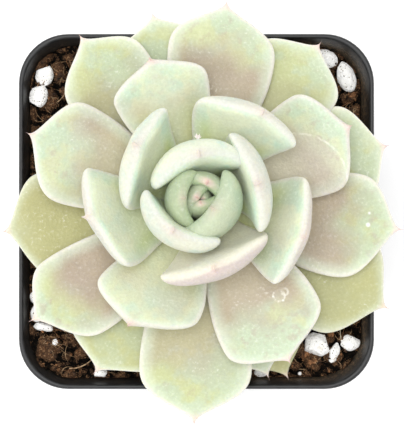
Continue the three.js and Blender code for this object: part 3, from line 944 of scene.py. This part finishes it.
def make_fibres(name, count, seed, material):
    rng = random.Random(seed)
    inside = inner_half(SOIL_LEVEL) - FIBRE_WALL_MARGIN

    def add_fibre(bm):
        x, y = open_place(rng, FIBRE_MARGIN)
        reach = rng.uniform(*FIBRE_REACHES)
        turn = rng.uniform(0, 2 * math.pi)
        ends = []
        for sign in (-1, 1):
            end_x = clamp(x + sign * reach * math.cos(turn), -inside, inside)
            end_y = clamp(y + sign * reach * math.sin(turn), -inside, inside)
            ends.append((end_x, end_y, soil_surface(end_x, end_y) - FIBRE_DIP))
        thickness = rng.uniform(*FIBRE_THICKNESSES)
        bow = rng.uniform(*FIBRE_BOWS)
        lift = rng.uniform(*FIBRE_LIFTS)
        add_strand(bm, *ends, thickness, bow, lift, STRAND_CUTS)

    add_piece(name, gather([add_fibre] * count), material)


def make_long_strands(finishes):
    for name, finish, start, end, thickness, bow, lift in LONG_STRANDS:
        ends = [(x, y, soil_surface(x, y) + thickness) for x, y in (start, end)]
        bm = bmesh.new()
        add_strand(bm, *ends, thickness, bow, lift, LONG_STRAND_CUTS)
        add_piece(name, bm, finishes[finish])


def make_bark_pieces(material):
    for number, (x, y, length, turn) in enumerate(BARK_PIECES):
        bm = bmesh.new()
        bmesh.ops.create_icosphere(bm, subdivisions=4, radius=length / 2)
        for vert in bm.verts:
            direction = vert.co.normalized()
            rough = noise.fractal(direction * 1.6 + Vector((number, 8, 2)), 0.8, 2.1, 4)
            vert.co *= 1 + BARK_ROUGHNESS * rough
        bmesh.ops.scale(bm, vec=BARK_FLATNESS, verts=bm.verts)
        turned = Matrix.Rotation(math.radians(turn), 3, "Z")
        bmesh.ops.rotate(bm, cent=(0, 0, 0), matrix=turned, verts=bm.verts)
        bmesh.ops.translate(bm, vec=(x, y, soil_surface(x, y) + BIT_LIFT), verts=bm.verts)
        add_piece(f"bark_piece_{number + 1}", bm, material)


def make_perlite_speck(material):
    x, y = PERLITE_SPECK
    place = Matrix.Translation((x, y, soil_surface(x, y) + BIT_LIFT))
    bm = bmesh.new()
    bmesh.ops.create_icosphere(bm, subdivisions=2, radius=0.5, matrix=place)
    add_piece("perlite_speck", bm, material)


def make_stem():
    points = [(0.0, ROOT_END), (ROOT_RADIUS, ROOT_END), *CROWN, (0.0, CROWN[-1][1] + CROWN_CAP)]
    bm = spun_profile([(radius, POT_HEIGHT + height) for radius, height in points], STEM_STEPS)
    bmesh.ops.subdivide_edges(bm, edges=bm.edges, cuts=1, use_grid_fill=True)
    for vert in bm.verts:
        ripple = STEM_RIPPLE * math.sin(3.4 * vert.co.z + 2.0 * math.atan2(vert.co.y, vert.co.x))
        radius = math.hypot(vert.co.x, vert.co.y)
        if radius > 1.0:
            vert.co.x *= 1 + ripple / radius
            vert.co.y *= 1 + ripple / radius
    bmesh.ops.recalc_face_normals(bm, faces=bm.faces)
    bmesh.ops.translate(bm, vec=(STEM_X, STEM_Y, 0), verts=bm.verts)
    add_piece("stem_and_crown", bm, stem_material(), "stem")


def bezier(start, knee, end, share):
    rest = 1 - share
    return rest * rest * start + 2 * rest * share * knee + share * share * end


def bezier_slope(start, knee, end, share):
    return 2 * (1 - share) * (knee - start) + 2 * share * (end - knee)


# A leaf's width along the midrib, as a share of its greatest width
def blade_outline(share, widest, shoulder):
    body = 0.34 + 0.66 * math.sin(math.pi / 2 * min(1.0, share / widest)) ** 1.4
    tip = max(0.0, (share - shoulder) / (1 - shoulder))
    return body * (1 - tip ** 4) ** 3


# A leaf's thickness along the midrib, as a share of its greatest thickness
def blade_thickness(share):
    body = 0.6 + 0.4 * math.sin(math.pi / 2 * min(1.0, share / 0.5))
    tip = max(0.0, (share - 0.55) / 0.45)
    return body * (1 - tip ** 4) ** 0.7


# What a leaf's shape follows from: the values of its row, its age, and the directions of its blade
def leaf_plan(number, row):
    leaf = SimpleNamespace(number=number, **dict(zip(LEAF_COLUMNS, row)))
    leaf.age = number / (len(LEAF_ROWS) - 1)
    upright = clamp((number - UPRIGHT_START) / UPRIGHT_SPAN)
    azimuth = math.radians(leaf.azimuth)
    leaf.outward = Vector((math.cos(azimuth), math.sin(azimuth), 0.0))
    leaf.sideways = Vector((-leaf.outward.y, leaf.outward.x, 0.0))
    leaf.facing = Matrix.Rotation(math.radians(leaf.yaw), 3, "Z") @ leaf.sideways
    leaf.base = (mix(*BASE_REACH, leaf.age ** 1.2), mix(*BASE_RISE, leaf.age ** 0.9))
    leaf.tip = (leaf.reach, leaf.rise)
    leaf.half_width = leaf.width / 2
    leaf.thickness = leaf.width * mix(*THICKNESS_SHARE, leaf.age ** 3)
    leaf.curl = leaf.half_width / leaf.wrap
    leaf.roundness = mix(*ROUNDNESS, upright)
    leaf.widest = mix(*WIDEST_SHARE, upright)
    leaf.tip_lean = TIP_LEANS.get(number + 1, 0.0)
    return leaf


def at_pole(share):
    return share < POLE or share > 1 - POLE


def leaf_half(leaf, share):
    if at_pole(share):
        return 0.0
    return leaf.half_width * blade_outline(share, leaf.widest, leaf.shoulder)


# A point of the leaf's skin, by its share of the way along the midrib and its turn round it
def leaf_point(leaf, share, turn):
    along = leaf.outward * bezier_slope(leaf.base[0], leaf.knee[0], leaf.tip[0], share)
    along += UP * bezier_slope(leaf.base[1], leaf.knee[1], leaf.tip[1], share)
    along.normalize()
    across = (leaf.facing - along * leaf.facing.dot(along)).normalized()
    over = along.cross(across).normalized()
    thick = 0.0 if at_pole(share) else leaf.thickness * blade_thickness(share)
    bend = math.cos(turn) * leaf_half(leaf, share) / leaf.curl
    lift = math.sin(turn)
    side_share = UPPER_SHARE if lift > 0 else UPPER_SHARE - 1
    rise = side_share * thick * abs(lift) ** leaf.roundness
    point = LEAF_FOOT + leaf.outward * bezier(leaf.base[0], leaf.knee[0], leaf.tip[0], share)
    if share > 1 - POLE:
        point += along * CUSP
    point += UP * bezier(leaf.base[1], leaf.knee[1], leaf.tip[1], share)
    point += leaf.sideways * leaf.swing * share ** 3
    point += across * (leaf.curl - rise) * math.sin(bend)
    point += over * (leaf.curl * (1 - math.cos(bend)) + rise * math.cos(bend))
    point += leaf.outward * leaf.tip_lean * clamp((share - TIP_LEAN_START) / (1 - TIP_LEAN_START)) ** 2
    if not at_pole(share):
        wobble = noise.noise(point * WOBBLE_RATE + Vector((leaf.number, 0, 0)))
        point += over * WOBBLE * wobble * clamp(share * 3)
    return point


# A leaf is a sphere drawn out along its midrib, with its blade lying across the midrib
def make_leaf(number, row, material):
    leaf = leaf_plan(number, row)
    bm = bmesh.new()
    bmesh.ops.create_uvsphere(bm, u_segments=LEAF_AROUND, v_segments=LEAF_ALONG, radius=1.0)
    layers = {name: bm.verts.layers.float.new(name) for name in LEAF_LAYERS}
    for vert in bm.verts:
        share = (math.acos(clamp(vert.co.z, -1.0, 1.0)) / math.pi) ** 0.9
        turn = math.atan2(vert.co.y, vert.co.x)
        vert.co = leaf_point(leaf, share, turn)
        vert[layers["along"]] = share
        vert[layers["inset"]] = (1 - abs(math.cos(turn))) * leaf_half(leaf, share)
        vert[layers["under"]] = clamp(-math.sin(turn))
        vert[layers["youth"]] = leaf.age
        vert[layers["rosy"]] = max(0.0, leaf.tone)
        vert[layers["olive"]] = max(0.0, -leaf.tone)
        vert[layers["point"]] = YOUNG_POINT if OUTER_LEAVES <= number < BUD_LEAVES else STRONG_POINT
    bmesh.ops.recalc_face_normals(bm, faces=bm.faces)
    name = f"{number + 1:02d}"
    return add_piece(f"rosette_leaf_{name}", bm, material, f"leaf_{name}")


# Perlite is a ball with flat breaks and open pores
def make_grain(number, row, material):
    x, y, length, breadth, turn = row
    rng = random.Random(GRAIN_SEED + number)
    breaks = [(random_direction(rng), rng.uniform(*GRAIN_BREAKS)) for _ in range(GRAIN_FACETS)]
    size = Vector((length / 2, breadth / 2, breadth / 2 * GRAIN_HEIGHT_SHARE)) * GRAIN_FULLNESS
    bm = bmesh.new()
    bmesh.ops.create_icosphere(bm, subdivisions=5, radius=1.0)
    for vert in bm.verts:
        direction = vert.co.normalized()
        radius = 1.0
        for normal, distance in breaks:
            facing = direction.dot(normal)
            if facing > 0:
                radius = min(radius, distance / facing)
        rough = noise.fractal(direction * 2.6 + Vector((number, 3, 5)), 0.9, 2.1, 4)
        hollow = noise.noise(direction * 7.0 + Vector((0, number, 0)))
        pore = clamp(hollow - GRAIN_PORE_START, 0, GRAIN_PORE_LIMIT)
        radius *= 1 + GRAIN_ROUGHNESS * rough - GRAIN_PORE_DEPTH * pore
        vert.co = Vector((direction.x * size.x, direction.y * size.y, direction.z * size.z)) * radius
    turned = Matrix.Rotation(math.radians(turn), 3, "Z")
    bmesh.ops.rotate(bm, cent=(0, 0, 0), matrix=turned, verts=bm.verts)
    height = soil_height(x, y) + GRAIN_LIFT_SHARE * breadth + GRAIN_LIFT
    bmesh.ops.translate(bm, vec=(x, y, height), verts=bm.verts)
    name = f"{number + 1:02d}"
    add_piece(f"perlite_grain_{name}", bm, material, f"perlite_{name}")


# Sugary crystals where the leaf stands out farthest toward their bearing
def make_tip_crystals(leaf, material):
    bearing = math.radians(CRYSTAL_BEARING)
    direction = Vector((math.cos(bearing), math.sin(bearing), 0.0))
    farthest = max(leaf.data.vertices, key=lambda vert: vert.co.dot(direction))
    centre = farthest.co / MM
    rng = random.Random(CRYSTAL_SEED)

    def add_crystal(bm):
        pointing = (random_direction(rng) + direction).normalized()
        radius = rng.uniform(*CRYSTAL_RADII)
        length = rng.uniform(*CRYSTAL_LENGTHS)
        place = Matrix.Translation(centre + pointing * (0.4 * length + rng.uniform(*CRYSTAL_SCATTER)))
        turn = pointing.to_track_quat("Z", "X").to_matrix().to_4x4()
        bmesh.ops.create_cone(
            bm, cap_ends=True, segments=5, radius1=radius, radius2=radius * 0.2, depth=length,
            matrix=place @ turn,
        )

    add_piece("tip_crystals", gather([add_crystal] * CRYSTALS), material, smooth=False)


# Stage

def make_floor():
    bm = bmesh.new()
    bmesh.ops.create_grid(bm, x_segments=1, y_segments=1, size=FLOOR_HALF)
    mesh = bpy.data.meshes.new("floor")
    bm.to_mesh(mesh)
    bm.free()
    material = start_material("pale_floor", {
        "Base Color": (0.93, 0.93, 0.93, 1.0),
        "Roughness": 0.9,
        "Emission Color": (1.0, 1.0, 1.0, 1.0),
        "Emission Strength": 0.12,
    })[0]
    mesh.materials.append(material)
    floor = bpy.data.objects.new("floor", mesh)
    bpy.context.collection.objects.link(floor)


def make_lights():
    for name, place, breadth, power, colour in LIGHTS:
        data = bpy.data.lights.new(name, "AREA")
        data.shape = "DISK"
        data.size = breadth
        data.energy = power
        data.color = colour
        light = bpy.data.objects.new(name, data)
        light.location = place
        light.rotation_euler = (Vector(LIT_POINT) - Vector(place)).to_track_quat("-Z", "Y").to_euler()
        bpy.context.collection.objects.link(light)
    world = bpy.data.worlds.new("studio")
    world.use_nodes = True
    background = world.node_tree.nodes["Background"]
    background.inputs["Color"].default_value = (1.0, 1.0, 1.0, 1.0)
    background.inputs["Strength"].default_value = ROOM_LIGHT
    bpy.context.scene.world = world


def make_camera():
    data = bpy.data.cameras.new("camera")
    data.sensor_width = SENSOR
    frame_height = PHOTO_HEIGHT * 2 * RIM_HALF / RIM_PIXELS
    data.lens = SENSOR * CAMERA_OVER_RIM / frame_height
    camera = bpy.data.objects.new("camera", data)
    camera.location = (CAMERA_X * MM, CAMERA_Y * MM, (POT_HEIGHT + CAMERA_OVER_RIM) * MM)
    bpy.context.collection.objects.link(camera)
    bpy.context.scene.camera = camera


make_floor()
make_lights()
make_camera()
bpy.context.scene.view_settings.view_transform = "Standard"

make_pot()
make_soil()
make_stem()

finishes = {name: crumb_material(name) for name in CRUMB_TONES}
perlite = perlite_material_with_painted_glow()
make_crumbs("peat_crumbs", count=1000, sizes=(0.4, 1.5), seed=11, material=finishes["dark_peat"])
make_crumbs("bark_crumbs", count=800, sizes=(0.3, 1.0), seed=12, material=finishes["bark_chips"])
make_fibres("coir_fibres", count=700, seed=13, material=finishes["coir_straw"])
make_fibres("dark_fibres", count=260, seed=14, material=finishes["bark_chips"])
make_long_strands(finishes)
make_bark_pieces(finishes["bark_chips"])
make_perlite_speck(perlite)
for grain_number, grain_row in enumerate(GRAINS):
    make_grain(grain_number, grain_row, perlite)

farina = leaf_material("leaf_with_farina")
marked_farina = {
    number: leaf_material(f"leaf_{number}_with_marks", marks) for number, marks in LEAF_MARKS.items()
}
leaves = [
    make_leaf(number, row, marked_farina.get(number + 1, farina)) for number, row in enumerate(LEAF_ROWS)
]
make_tip_crystals(leaves[CRYSTAL_LEAF - 1], finishes["sugar_crystals"])
